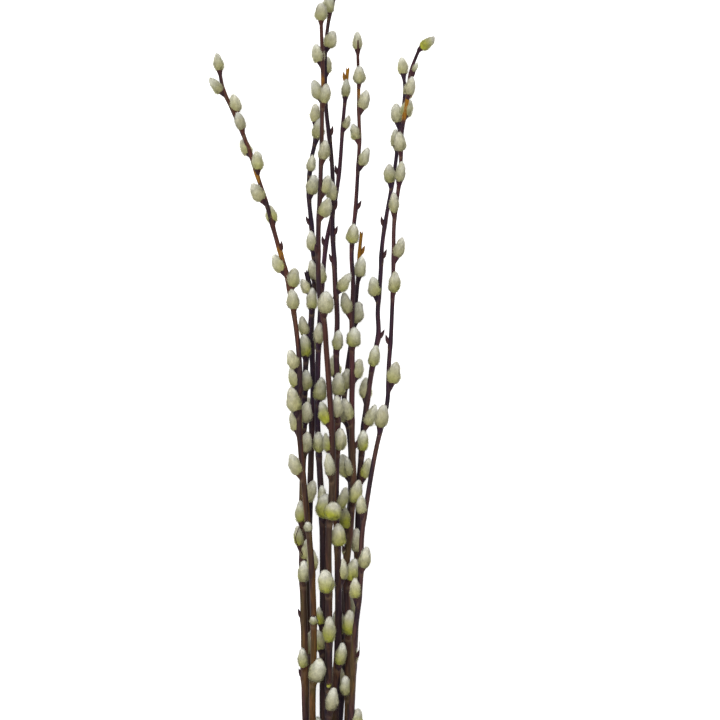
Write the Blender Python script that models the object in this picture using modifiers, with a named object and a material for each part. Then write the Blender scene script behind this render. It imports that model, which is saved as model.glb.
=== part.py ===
"""A gathered bunch of ten cut pussy willow branches, lying on its side, held by one rubber band.

The design is in millimetres: across is +X, along is +Y towards the tips, and height is +Z above
the surface that the bunch lies on. Along starts at the band, and the cut ends lie below it.
A turn is an angle round a branch in degrees: 0 faces up, 90 faces +X, -90 faces -X, 180 faces down.
"""
import math
import random

import bmesh
import bpy
from mathutils import Matrix, Vector

MM = 0.001

# Place of the bunch: its bounding box is centred on the origin by these two distances.
CENTRE_ACROSS = -5.78
CENTRE_ALONG = 316.0

# Stems, from the band to the tip of the tallest one.
STEM_RADIUS_AT_BAND = 3.05
STEM_RADIUS_AT_TIP = 1.35
TALLEST_TIP = 686.0
STEM_SIDES_RESOLUTION = 1
LONGEST_STRETCH = 30.0
SHORTEST_STRETCH = 3.0
NODE_SWELLING = 1.14
ZIGZAG = 0.55
CUT_SLOPE = 0.8

# The band, and the stems' seats inside it: three rows, each stem in the dip between two below.
SEAT_PITCH = 6.6
ROW_PITCH = SEAT_PITCH * math.sin(math.radians(60))
BAND_THICKNESS = 1.2
BAND_WIDTH = 9.0
BAND_GAP = 0.3
BAND_EDGE = 0.35
LOWEST_SEAT = BAND_THICKNESS + BAND_GAP + STEM_RADIUS_AT_BAND
HELD_STRAIGHT = 9.0
SPREAD_AT_CUT = 1.35
LIFT_AT_CUT = 1.2

# Catkins: long and full low on a branch, small near its tip.
CATKIN_LENGTH_LOW = 22.5
CATKIN_LENGTH_HIGH = 15.5
CATKIN_WIDTH_LOW = 11.3
CATKIN_WIDTH_HIGH = 9.3
CATKIN_LEAN = 20.0
CATKIN_SIDES = 6
SPUR_STANDOFF = 0.6
TIP_STANDOFF = 1.5
# Half outline of a catkin of length 1 and half width 1, from its tip down to the root in the wood.
CATKIN_OUTLINE = [(0.0, 1.0), (0.58, 0.82), (0.98, 0.48), (0.88, 0.17), (0.46, 0.0)]
ROOT_HALF_WIDTH = 0.24
ROOT_DEPTH = 0.30

# Bare buds: small pointed scales that lie against the stem.
BUD_LENGTH = 7.0
BUD_HALF_WIDTH = 1.9
BUD_LEAN = 24.0

# Each branch: its seat in the band (column, row), its cut end, the points of its route
# (across, along, height), its catkins (along, turn) and its bare buds (along, turn). A catkin that
# stands out also gives its size and its lean. A tip is the lean and turn of the catkin on it, or None
# where the branch is broken off.
BRANCHES = {
    "branch_left_outer": {
        "seat": (-1, 2), "cut": -60, "tip": (0, 0), "bark": (0.075, 0.030, 0.022),
        "route": [(-13, 88, 34), (-12, 144, 45), (-13, 200, 50), (-24, 328, 51), (-24, 376, 49),
                  (-28, 414, 44), (-50, 500, 27), (-76, 574, 11), (-86, 595, 7), (-88, 607, 5.9)],
        "catkins": [(121, 30), (208, 165, 0.9, 8), (285, -80), (319, -150), (335, -60, 1.12, 18), (354, -130),
                    (369, -90), (416, 10), (433, 80), (447, -110), (486, 160), (504, -75),
                    (527, 50), (542, -150), (560, 20), (574, 100), (592, -80)],
        "buds": [(168, 0), (242, 0), (350, 40), (464, 60)],
    },
    "branch_left_inner": {
        "seat": (-1.5, 1), "cut": -66, "tip": None, "bark": (0.040, 0.016, 0.030),
        "route": [(-19, 88, 21), (-20, 144, 27), (-21, 216, 31), (-20, 320, 31), (-18, 384, 31),
                  (-14, 424, 32), (-18, 446, 33)],
        "catkins": [(130, -15, 0.85, 14), (199, 10), (216, 60, 0.9, 10), (227, -60, 0.9, 10),
                    (246, -30, 0.95, 8), (263, 85, 0.95, 24),
                    (302, 30), (326, 20), (352, 10), (379, -20), (395, -80), (417, 0),
                    (430, -60, 0.75, 20)],
        "buds": [(123, -90), (171, -90)],
    },
    "branch_left_back": {
        "seat": (-1, 0), "cut": -57, "tip": (0, 0), "bark": (0.036, 0.014, 0.034),
        "route": [(-15, 88, 8), (-16, 144, 10), (-18, 184, 12), (-16, 248, 12), (-14, 324, 12),
                  (-13, 352, 12), (-14, 408, 12), (-12, 432, 12), (-14, 538, 13),
                  (-11, 552, 14), (-11, 565, 14)],
        "catkins": [(140, 20), (328, -150), (384, 180), (441, -20), (464, -10), (509, 50),
                    (528, 10, 0.85, 18), (554, 30)],
        "buds": [(486, -90)],
    },
    "branch_crossing": {
        "seat": (-0.5, 1), "cut": -63, "tip": None, "bark": (0.060, 0.030, 0.020),
        "route": [(-5, 88, 20), (-5, 184, 25), (-5, 240, 25), (-9, 324, 24), (-5, 446, 24),
                  (-3, 468, 21), (4, 502, 17), (15, 610, 12)],
        "catkins": [(73, -50, 0.9, 12), (144, -40, 0.85, 16), (164, -40, 0.75, 12), (250, 25),
                    (262, 10, 0.75, 14), (302, 5), (344, 30),
                    (389, 0), (437, -20), (562, 50, 0.75, 24), (587, 0)],
        "buds": [(469, -90), (526, -90)],
    },
    "branch_centre_front": {
        "seat": (0, 2), "cut": -68, "tip": (0, 0), "bark": (0.085, 0.034, 0.020),
        "route": [(0, 88, 35), (0, 176, 51), (0, 236, 56), (2, 264, 57), (-2, 388, 58),
                  (-3, 404, 58), (-6, 420, 59), (-6, 524, 62), (-5, 568, 64), (-6, 643, 68)],
        "catkins": [(97, 25), (152, 5, 1.12, 14), (192, -20), (250, 20, 0.8, 24), (284, -30),
                    (303, -110, 0.85, 14),
                    (325, -120), (413, 50), (490, 80), (508, 120), (535, 30),
                    (580, 30), (583, -80), (612, -110)],
        "buds": [(117, 0), (462, -40)],
    },
    "branch_centre_tall": {
        "seat": (0.5, 1), "cut": -59, "tip": (0, 0), "bark": (0.045, 0.018, 0.028),
        "route": [(5, 88, 23), (8, 176, 37), (6, 268, 40), (7, 344, 40), (6, 384, 40), (7, 408, 40),
                  (4, 454, 41), (2, 542, 44), (-2, 580, 46), (-2, 628, 49), (0, 648, 50),
                  (12, 686, 52)],
        "catkins": [(133, 30), (200, 110, 0.9, 8), (228, 10), (257, 75), (305, 20), (330, -5), (348, 10),
                    (363, -160), (384, 15), (431, 80, 1.0, 42), (503, -20), (604, 160), (625, 70),
                    (652, -40)],
        "buds": [(455, -80), (477, 80), (497, 80), (556, 90)],
    },
    "branch_short_stub": {
        "seat": (0, 0), "cut": -65, "tip": None, "bark": (0.055, 0.026, 0.022),
        "route": [(8, 88, 8), (13, 204, 12), (16, 316, 12), (12, 344, 12), (14, 364, 12),
                  (20, 406, 13), (26, 478, 14)],
        "catkins": [(113, -30), (156, -40), (240, -60), (282, -60), (327, -30), (353, 5),
                    (406, 20), (443, 15)],
        "buds": [(462, 70)],
    },
    "branch_centre_right": {
        "seat": (1.5, 1), "cut": -61, "tip": (0, 0), "bark": (0.070, 0.028, 0.026),
        "route": [(15, 88, 22), (15, 176, 28), (14, 216, 28), (18, 256, 28), (19, 304, 28), (18, 328, 28),
                  (19, 366, 28), (18, 412, 29), (19, 436, 30), (18, 460, 31), (22, 500, 34), (24, 588, 38),
                  (23, 622, 39)],
        "catkins": [(108, -22, 0.85, 20), (157, 12), (199, 60), (240, -80), (262, 30),
                    (283, -70, 0.85, 14), (328, -50),
                    (361, 130), (387, 20), (413, -80), (470, 0), (531, 75), (552, -80, 0.85, 18), (576, 85),
                    (597, 10)],
        "buds": [(222, -80), (306, 90), (498, 90)],
    },
    "branch_right_inner": {
        "seat": (1, 0), "cut": -67, "tip": (0, 0), "bark": (0.042, 0.016, 0.034),
        "route": [(17, 88, 8), (20, 144, 10), (37, 382, 12), (40, 396, 12), (39, 414, 12),
                  (42, 452, 12), (43, 472, 12), (53, 534, 12), (57, 566, 12), (61, 594, 8.9),
                  (60, 604, 6.85)],
        "catkins": [(131, -10), (171, -20), (222, -10), (281, 80, 0.95, 18), (303, 0), (324, 60),
                    (344, -150), (371, 0), (427, -80), (518, -50), (547, -150), (566, -80),
                    (589, 20, 0.6, 14)],
        "buds": [(395, 90), (459, 80), (485, -90)],
    },
    "branch_right_outer": {
        "seat": (1, 2), "cut": -58, "tip": (32, 90), "bark": (0.070, 0.024, 0.030),
        "route": [(18, 88, 34), (21, 160, 46), (23.5, 184, 48), (25.5, 204, 49), (26.5, 240, 49),
                  (30, 264, 49), (42, 324, 46),
                  (46, 338, 45), (48, 376, 42), (52, 460, 38), (52, 484, 37), (57, 526, 35),
                  (58, 554, 34), (63, 586, 32), (67, 611, 31), (72, 624, 31)],
        "catkins": [(80, 120, 0.9, 10), (186, -70, 0.85, 10), (211, 30), (253, -50, 0.82, 18),
                    (322, -20), (357, 75),
                    (430, 10),
                    (458, 75), (493, -20), (518, 0), (543, -15), (571, 165), (588, 10),
                    (607, 50, 0.6, 22)],
        "buds": [(139, 90), (390, -90), (603, 90)],
    },
}


def world(across, along, height):
    """A design point in metres, in the frame whose origin is under the middle of the bunch."""
    return Vector((across - CENTRE_ACROSS, along - CENTRE_ALONG, height)) * MM


def seat_place(column, row):
    """Across and height of a stem's seat inside the band."""
    return column * SEAT_PITCH, LOWEST_SEAT + row * ROW_PITCH


def full_route(branch):
    """The route with its seat in the band and its cut end, ordered by along."""
    column, row = branch["seat"]
    across, height = seat_place(column, row)
    cut = (across * SPREAD_AT_CUT, branch["cut"], height + (row - 0.5) * LIFT_AT_CUT)
    held = [(across, -HELD_STRAIGHT, height), (across, HELD_STRAIGHT, height)]
    return [cut] + held + branch["route"]


def slopes(knots, values):
    """Slope at each knot of a smooth curve through the values."""
    steps = [b - a for a, b in zip(knots, knots[1:])]
    rises = [(b - a) / step for a, b, step in zip(values, values[1:], steps)]
    inner = [(r0 * s1 + r1 * s0) / (s0 + s1)
             for r0, r1, s0, s1 in zip(rises, rises[1:], steps, steps[1:])]
    return [rises[0]] + inner + [rises[-1]]


def smooth(knots, values, at):
    """Cubic interpolation, carried on in a straight line past either end."""
    rates = slopes(knots, values)
    if at <= knots[0]:
        return values[0] + rates[0] * (at - knots[0])
    if at >= knots[-1]:
        return values[-1] + rates[-1] * (at - knots[-1])
    i = max(k for k, knot in enumerate(knots[:-1]) if knot <= at)
    step = knots[i + 1] - knots[i]
    t = (at - knots[i]) / step
    rise = values[i + 1] - values[i]
    start = rates[i] * step - rise
    end = rise - rates[i + 1] * step
    return values[i] + t * rise + t * (1 - t) * ((1 - t) * start + t * end)


def side_vector(turn):
    angle = math.radians(turn)
    return Vector((math.sin(angle), 0.0, math.cos(angle)))


def mix(low, high, along):
    return low + (high - low) * min(max(along / TALLEST_TIP, 0.0), 1.0)


class Stem:
    """Centre line, direction and radius of one branch, all by distance along the bunch."""

    def __init__(self, branch):
        route = full_route(branch)
        self.knots = [point[1] for point in route]
        self.across = [point[0] for point in route]
        self.height = [point[2] for point in route]
        self.cut = self.knots[0]
        self.end = self.knots[-1]
        self.nodes = sorted(entry[:2] for entry in branch["catkins"] + branch["buds"])

    def line(self, along):
        return Vector((smooth(self.knots, self.across, along), along,
                       smooth(self.knots, self.height, along)))

    def kink(self, along):
        """The stem steps a little away from each catkin or bud, straight from one to the next."""
        stops = [(0.0, Vector())]
        stops += [(place, side_vector(turn) * -ZIGZAG) for place, turn in self.nodes]
        stops += [(self.end + 1.0, Vector())]
        for (a, start), (b, finish) in zip(stops, stops[1:]):
            if a <= along < b:
                return start.lerp(finish, (along - a) / (b - a))
        return Vector()

    def centre(self, along):
        return self.line(along) + self.kink(along)

    def direction(self, along):
        return (self.line(along + 2.0) - self.line(along - 2.0)).normalized()

    def radius(self, along):
        return mix(STEM_RADIUS_AT_BAND, STEM_RADIUS_AT_TIP, along)

    def outward(self, along, turn):
        """The turn's direction, square to the stem."""
        forward = self.direction(along)
        side = side_vector(turn)
        return (side - forward * side.dot(forward)).normalized()

    def leaning(self, along, turn, lean):
        """The axis of what grows at a place, leaning out from the stem, and its outward side."""
        outward = self.outward(along, turn)
        angle = math.radians(lean)
        return self.direction(along) * math.cos(angle) + outward * math.sin(angle), outward

    def stations(self):
        """Places of the tube's rings: one at every node, and enough between them."""
        marks = [self.cut, -HELD_STRAIGHT, HELD_STRAIGHT]
        marks += [place for place, turn in self.nodes] + [self.end]
        places = [self.cut]
        for mark in sorted(marks)[1:]:
            gap = mark - places[-1]
            if gap < SHORTEST_STRETCH:
                continue
            pieces = math.ceil(gap / LONGEST_STRETCH)
            places += [mark - gap * k / pieces for k in range(pieces - 1, -1, -1)]
        places[-1] = self.end
        return places


def frame_along(origin, axis, side):
    """A matrix whose Z is the axis and whose X leans to the side."""
    x = (side - axis * side.dot(axis)).normalized()
    y = axis.cross(x)
    turned = Matrix((x, y, axis)).transposed().to_4x4()
    return Matrix.Translation(origin) @ turned


def catkin_places(name, branch, stem):
    """One matrix for each catkin, which sizes and places a catkin of length 1 and half width 1."""
    places = []
    draw = random.Random(name)
    for along, turn, *special in branch["catkins"]:
        size, lean = special or (draw.uniform(0.93, 1.06), CATKIN_LEAN + draw.uniform(-4.0, 4.0))
        axis, outward = stem.leaning(along, turn, lean)
        base = stem.centre(along) + outward * (stem.radius(along) + SPUR_STANDOFF)
        places.append((base, axis, outward, along, size))
    if branch["tip"]:
        lean, turn = branch["tip"]
        axis, outward = stem.leaning(stem.end, turn, lean)
        places.append((stem.centre(stem.end) + axis * TIP_STANDOFF, axis, outward, stem.end, 1.0))
    return places


def solid_of(holder):
    """A mesh copy of an object as its modifiers or its curve shape it, with loose caps welded."""
    bpy.context.view_layer.update()
    depsgraph = bpy.context.evaluated_depsgraph_get()
    mesh = bpy.data.meshes.new_from_object(holder.evaluated_get(depsgraph))
    shape = bmesh.new()
    shape.from_mesh(mesh)
    bmesh.ops.remove_doubles(shape, verts=shape.verts, dist=1e-6)
    bmesh.ops.recalc_face_normals(shape, faces=shape.faces)
    shape.to_mesh(mesh)
    shape.free()
    return mesh


def turned_mesh(name, outline, sides):
    """A profile turned about Z. The outline runs from the tip down, as (radius, height)."""
    profile = bpy.data.meshes.new(name)
    edges = [(k, k + 1) for k in range(len(outline) - 1)]
    profile.from_pydata([(r, 0.0, z) for r, z in outline], edges, [])
    holder = bpy.data.objects.new(name, profile)
    bpy.context.scene.collection.objects.link(holder)
    screw = holder.modifiers.new("turn", "SCREW")
    screw.axis = "Z"
    screw.angle = math.tau
    screw.steps = sides
    screw.render_steps = sides
    screw.use_merge_vertices = True
    screw.merge_threshold = 0.00001
    mesh = solid_of(holder)
    bpy.data.objects.remove(holder)
    return mesh


def catkin_mesh():
    """A catkin of length 1 and half width 1 on its spur: faces of the spur are bark, the rest fur."""
    root = [(ROOT_HALF_WIDTH, -ROOT_DEPTH), (0.0, -ROOT_DEPTH)]
    mesh = turned_mesh("catkin_form", CATKIN_OUTLINE + root, CATKIN_SIDES)
    for face in mesh.polygons:
        face.material_index = 1 if face.center.z > 0.02 else 0
    return mesh


def bud_mesh():
    outline = [(0.0, 1.0), (0.75, 0.62), (1.0, 0.25), (0.8, -0.3), (0.0, -0.3)]
    return turned_mesh("bud_form", outline, CATKIN_SIDES)


def bark_material(name, colour):
    material = bpy.data.materials.new(name)
    material.use_nodes = True
    shader = material.node_tree.nodes["Principled BSDF"]
    shader.inputs["Base Color"].default_value = (*colour, 1.0)
    shader.inputs["Roughness"].default_value = 0.55
    shader.inputs["Metallic"].default_value = 0.0
    return material


def fur_material():
    material = bark_material("catkin_fur", (0.42, 0.41, 0.29))
    material.node_tree.nodes["Principled BSDF"].inputs["Roughness"].default_value = 0.95
    return material


def rubber_material():
    material = bark_material("band_rubber", (0.52, 0.33, 0.16))
    material.node_tree.nodes["Principled BSDF"].inputs["Roughness"].default_value = 0.6
    return material


def stem_object(name, stem, materials):
    """The stem as a tapered tube through its stations, with an oblique cut at its low end."""
    places = stem.stations()
    curve = bpy.data.curves.new(name, "CURVE")
    curve.dimensions = "3D"
    curve.bevel_depth = MM
    curve.bevel_resolution = STEM_SIDES_RESOLUTION
    curve.use_fill_caps = True
    spline = curve.splines.new("POLY")
    spline.points.add(len(places) - 1)
    nodes = {place for place, turn in stem.nodes}
    for point, along in zip(spline.points, places):
        point.co = (*world(*stem.centre(along)), 1.0)
        point.radius = stem.radius(along) * (NODE_SWELLING if along in nodes else 1.0)
    tube = bpy.data.objects.new(name, curve)
    bpy.context.scene.collection.objects.link(tube)
    mesh = solid_of(tube)
    bpy.data.objects.remove(tube)
    mesh.materials.clear()
    for material in materials:
        mesh.materials.append(material)
    cut_end = world(*stem.centre(stem.cut))
    for vertex in mesh.vertices:
        if vertex.co.y < cut_end.y + 2.0 * MM:
            vertex.co.y += (vertex.co.z - cut_end.z) * CUT_SLOPE
    return bpy.data.objects.new(name, mesh)


def placed_copy(form, matrix, materials, group):
    """A copy of a small form, its shape already in place, in the group that is joined to a stem."""
    mesh = form.copy()
    mesh.transform(matrix)
    mesh.materials.clear()
    for material in materials:
        mesh.materials.append(material)
    group.objects.link(bpy.data.objects.new(form.name, mesh))


def add_repeats(name, branch, stem, forms, materials, group):
    for base, axis, outward, along, size_factor in catkin_places(name, branch, stem):
        length = mix(CATKIN_LENGTH_LOW, CATKIN_LENGTH_HIGH, along) * size_factor * MM
        half_width = mix(CATKIN_WIDTH_LOW, CATKIN_WIDTH_HIGH, along) * size_factor * MM / 2
        size = Matrix.Diagonal((half_width, half_width, length, 1.0))
        matrix = frame_along(world(*base), axis, outward) @ size
        placed_copy(forms["catkin"], matrix, materials, group)
    for along, turn in branch["buds"]:
        axis, outward = stem.leaning(along, turn, BUD_LEAN)
        base = stem.centre(along) + outward * stem.radius(along)
        size = Matrix.Diagonal((BUD_HALF_WIDTH * MM, BUD_HALF_WIDTH * MM, BUD_LENGTH * MM, 1.0))
        placed_copy(forms["bud"], frame_along(world(*base), axis, outward) @ size, materials, group)


def join_group(target, group):
    """One union of the group onto the target, applied, with the group's objects then removed."""
    joint = target.modifiers.new("join", "BOOLEAN")
    joint.operation = "UNION"
    joint.operand_type = "COLLECTION"
    joint.collection = group
    joint.solver = "EXACT"
    bpy.context.view_layer.update()
    depsgraph = bpy.context.evaluated_depsgraph_get()
    joined = bpy.data.meshes.new_from_object(target.evaluated_get(depsgraph))
    target.modifiers.clear()
    target.data = joined
    for piece in list(group.objects):
        bpy.data.objects.remove(piece)
    bpy.data.collections.remove(group)


def set_origin(piece, place, parent):
    """Puts the object's origin at a place without moving its shape, and hangs it on the parent."""
    piece.data.transform(Matrix.Translation(-place))
    piece.parent = parent
    piece.location = place - parent.location


def build_branch(name, branch, forms, fur, bunch, parent):
    stem = Stem(branch)
    materials = [bark_material("bark_of_" + name, branch["bark"]), fur]
    piece = stem_object(name, stem, materials)
    bunch.objects.link(piece)
    group = bpy.data.collections.new(name + "_catkins")
    bpy.context.scene.collection.children.link(group)
    add_repeats(name, branch, stem, forms, materials, group)
    join_group(piece, group)
    piece.data.set_sharp_from_angle(angle=math.radians(50))
    set_origin(piece, world(*stem.centre(0.0)), parent)


def hull_outline(clearance):
    """The loop round the six outer seats at a distance from their centres, as (across, height)."""
    corners = [(-1, 0), (1, 0), (1.5, 1), (1, 2), (-1, 2), (-1.5, 1)]
    spots = [Vector(seat_place(*corner)) for corner in corners]
    points = []
    arc_steps = 4
    for k, spot in enumerate(spots):
        before = spot - spots[k - 1]
        after = spots[(k + 1) % len(spots)] - spot
        start = math.atan2(before.y, before.x) - math.pi / 2
        finish = math.atan2(after.y, after.x) - math.pi / 2
        sweep = (finish - start) % math.tau
        for step in range(arc_steps + 1):
            angle = start + sweep * step / arc_steps
            points.append((spot.x + clearance * math.cos(angle), spot.y + clearance * math.sin(angle)))
    return points


def build_band(bunch, parent):
    """A flat ring, tight round the bundle, straight where it spans from stem to stem."""
    inner = STEM_RADIUS_AT_BAND + BAND_GAP
    outline = bpy.data.curves.new("rubber_band", "CURVE")
    outline.dimensions = "2D"
    outline.fill_mode = "BOTH"
    outline.extrude = BAND_WIDTH / 2 * MM
    for clearance in (inner + BAND_THICKNESS, inner):
        points = hull_outline(clearance)
        spline = outline.splines.new("POLY")
        spline.use_cyclic_u = True
        spline.points.add(len(points) - 1)
        for point, (across, height) in zip(spline.points, points):
            point.co = (across * MM, height * MM, 0.0, 1.0)
    flat = bpy.data.objects.new("rubber_band", outline)
    bpy.context.scene.collection.objects.link(flat)
    mesh = solid_of(flat)
    bpy.data.objects.remove(flat)
    mesh.transform(Matrix.Translation(world(0.0, 0.0, 0.0)) @ Matrix.Rotation(math.pi / 2, 4, "X"))
    mesh.materials.append(rubber_material())
    piece = bpy.data.objects.new("rubber_band", mesh)
    bunch.objects.link(piece)
    edges = piece.modifiers.new("round_edges", "BEVEL")
    edges.width = BAND_EDGE * MM
    edges.segments = 1
    edges.limit_method = "ANGLE"
    edges.angle_limit = math.radians(60)
    set_origin(piece, world(0.0, 0.0, LOWEST_SEAT + ROW_PITCH), parent)


def main():
    for old in list(bpy.data.objects):
        bpy.data.objects.remove(old)
    bunch = bpy.data.collections.new("willow_bunch")
    bpy.context.scene.collection.children.link(bunch)
    parent = bpy.data.objects.new("bunch_place", None)
    parent.location = world(0.0, 0.0, 0.0)
    bunch.objects.link(parent)
    forms = {"catkin": catkin_mesh(), "bud": bud_mesh()}
    fur = fur_material()
    for name, branch in BRANCHES.items():
        build_branch(name, branch, forms, fur, bunch, parent)
    build_band(bunch, parent)


main()
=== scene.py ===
"""The looks of a gathered bunch of cut pussy willow branches, lying on its side in a rubber band.

Lengths are in millimetres in the model's design directions: across is +X, along is +Y towards the
tips, and height is +Z above the surface. Along starts at the band. A turn is an angle round a branch
in degrees: 0 faces up, 90 faces +X. The branches repeat the model's routes, so that each piece lies
where the node that it replaces lies.
"""

import math
import random

import bpy
import numpy as np
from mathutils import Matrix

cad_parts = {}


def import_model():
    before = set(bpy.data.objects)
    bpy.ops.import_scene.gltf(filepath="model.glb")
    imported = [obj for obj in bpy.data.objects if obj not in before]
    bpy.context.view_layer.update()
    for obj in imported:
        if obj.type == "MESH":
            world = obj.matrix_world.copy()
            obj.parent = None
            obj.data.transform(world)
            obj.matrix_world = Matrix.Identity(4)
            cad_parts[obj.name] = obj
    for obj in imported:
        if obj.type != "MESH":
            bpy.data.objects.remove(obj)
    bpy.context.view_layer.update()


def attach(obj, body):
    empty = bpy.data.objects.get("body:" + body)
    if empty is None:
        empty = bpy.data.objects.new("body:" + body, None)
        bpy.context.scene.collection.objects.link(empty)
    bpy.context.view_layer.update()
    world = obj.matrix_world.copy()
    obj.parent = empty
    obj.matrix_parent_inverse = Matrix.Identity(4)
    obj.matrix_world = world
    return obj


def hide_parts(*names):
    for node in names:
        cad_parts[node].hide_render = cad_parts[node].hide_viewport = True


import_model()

MM = 0.001

# Place of the bunch: its bounding box is centred on the origin by these two distances.
CENTRE_ACROSS = -5.78
CENTRE_ALONG = 316.0

# Stems, from the band to the tip of the tallest one, as in the model.
STEM_RADIUS_AT_BAND = 3.05
STEM_RADIUS_AT_TIP = 1.35
TALLEST_TIP = 686.0
ZIGZAG = 0.55
CUT_SLOPE = 0.8
SEAT_PITCH = 6.6
ROW_PITCH = SEAT_PITCH * math.sin(math.radians(60))
BAND_THICKNESS = 1.2
BAND_GAP = 0.3
LOWEST_SEAT = BAND_THICKNESS + BAND_GAP + STEM_RADIUS_AT_BAND
HELD_STRAIGHT = 9.0
SPREAD_AT_CUT = 1.35
LIFT_AT_CUT = 1.2

# Catkins and buds, as in the model.
CATKIN_LENGTH_LOW = 22.5
CATKIN_LENGTH_HIGH = 15.5
CATKIN_WIDTH_LOW = 11.3
CATKIN_WIDTH_HIGH = 9.3
CATKIN_LEAN = 20.0
LEAN_CHANGES = (-4.0, 4.0)
CATKIN_SIZES = (0.93, 1.06)
SPUR_STANDOFF = 0.6
TIP_STANDOFF = 1.5
BUD_LENGTH = 7.0
BUD_HALF_WIDTH = 1.9
BUD_LEAN = 24.0

# Finer form of a stem: its rings, the stretch that its direction is evened over, the bark's
# unevenness, the angle from which an edge stays sharp, and the swelling and leaf scar at each node.
RING_SPACING = 2.6
STEM_SIDES = 16
EVENED_OVER = 2.0
UNEVENNESS = 0.03
SHARP_ANGLE = 55
NODE_REACH = 4.4
NODE_BELOW = 1.5
NODE_ALL_ROUND = 0.06
NODE_SIDE = 0.24
SCAR_REACH = 1.3
SCAR_BELOW = 5.0

# Girth of the bark against the model's: in the band, the places where that ends, where the branch's
# own is reached and where it starts to change to its tip's, and the usual girths of those two.
GIRTH_IN_BAND = 1.04
GIRTH_PLACES = (20.0, 110.0, 260.0)
USUAL_GIRTH = (1.06, 0.98)

# A cut end: its rings as shares of the radius, the share that is bare wood, and how far up its slope
# is felt. A broken tip has splinters.
CUT_RINGS = (0.06, 0.14, 0.4, 0.7, 0.88, 0.97)
WOOD_SHARE = 0.93
CUT_REACH = 7.0
SPLINTER = 2.6
SPLINTER_SWAY = 0.6

# Golden bark: how far its edges stray, its slant across the stem, and its fade at the edges.
GOLD_STRAY = 3.0
GOLD_SLANT = 2.5
GOLD_FADE = 3.0
GOLD_AT_EDGE = 0.4
GOLD_OF_BUD = 0.8

# Bark has its low colour up to the first of these places, and its upper one from the second.
LOW_BARK_REACH = (270.0, 340.0)

# Half outline of the bark cup under a catkin, from its foot in the stem to the lip that turns in,
# as (height, radius) for a catkin of length 1 and half width 1.
CUP_OUTLINE = [(-0.44, 0.05), (-0.34, 0.20), (-0.22, 0.31), (-0.10, 0.41), (0.0, 0.50), (0.05, 0.55),
               (0.07, 0.53), (0.05, 0.44)]
CUP_SIDES = 14
CUP_ROWS = 12
CUP_FOOT_REACH = 4.0

# Half outline of a bud, from its foot to its point, as (height, radius).
BUD_OUTLINE = [(-0.3, 0.35), (-0.12, 0.80), (0.1, 1.0), (0.35, 0.93), (0.6, 0.66), (0.82, 0.34),
               (0.97, 0.08)]
BUD_ROWS = 12
BUD_SIDES = 12
BUD_FLATNESS = 0.82
BUD_STOOP = 0.5
BUD_POINT = 0.25
TUFT_SUNK = 2.0
TWIG_RINGS = 6
TWIG_SIDES = 6
TWIG_TAPER = 0.45

# Half outline of a catkin's body under its hairs, from its foot to its tip, as (height, radius).
CATKIN_OUTLINE = [(0.0, 0.42), (0.07, 0.67), (0.18, 0.89), (0.33, 1.0), (0.48, 0.98), (0.63, 0.87),
                  (0.78, 0.69), (0.90, 0.47), (0.97, 0.26), (1.0, 0.05)]
CATKIN_ROWS = 16
CATKIN_SIDES = 18
CATKIN_BEND = 0.05
# The body is slimmer and shorter than the model's, and the hairs make up for it.
FUR_DEPTH = 0.9
FUR_BEYOND_TIP = 1.7
# The usual number of hairs is for a body of this length times half width.
HAIRS = 5000
HAIRS_AREA = 110.0
HAIR_LENGTH = 3.5
SHORT_CATKIN = 14.0
HAIR_WIDTH = 0.27
HAIR_LIFT = 22.0
HAIR_LIFT_SPREAD = 9.0
HAIR_SWAY = 0.16
HIGHEST_ROOT = 0.985
ROOT_DEPTH = 0.12
# Hair ends are painted paler than their roots: painted light at the ends, painted shade deep in the coat.
HAIR_END_PAINTED_LIGHT = 0.12
# How green catkins are, by along.
GREEN_PLACES = (120, 330, 620)
GREEN_STRENGTHS = (1.1, 0.75, 0.35)
# Hairs let light through, so the normals at their ends turn partly upwards, to the light.
UPWARD = np.array([0.0, 0.0, 1.0])
TIP_GLOW = 0.7
GOLDEN_ANGLE = math.pi * (3.0 - math.sqrt(5.0))
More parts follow.
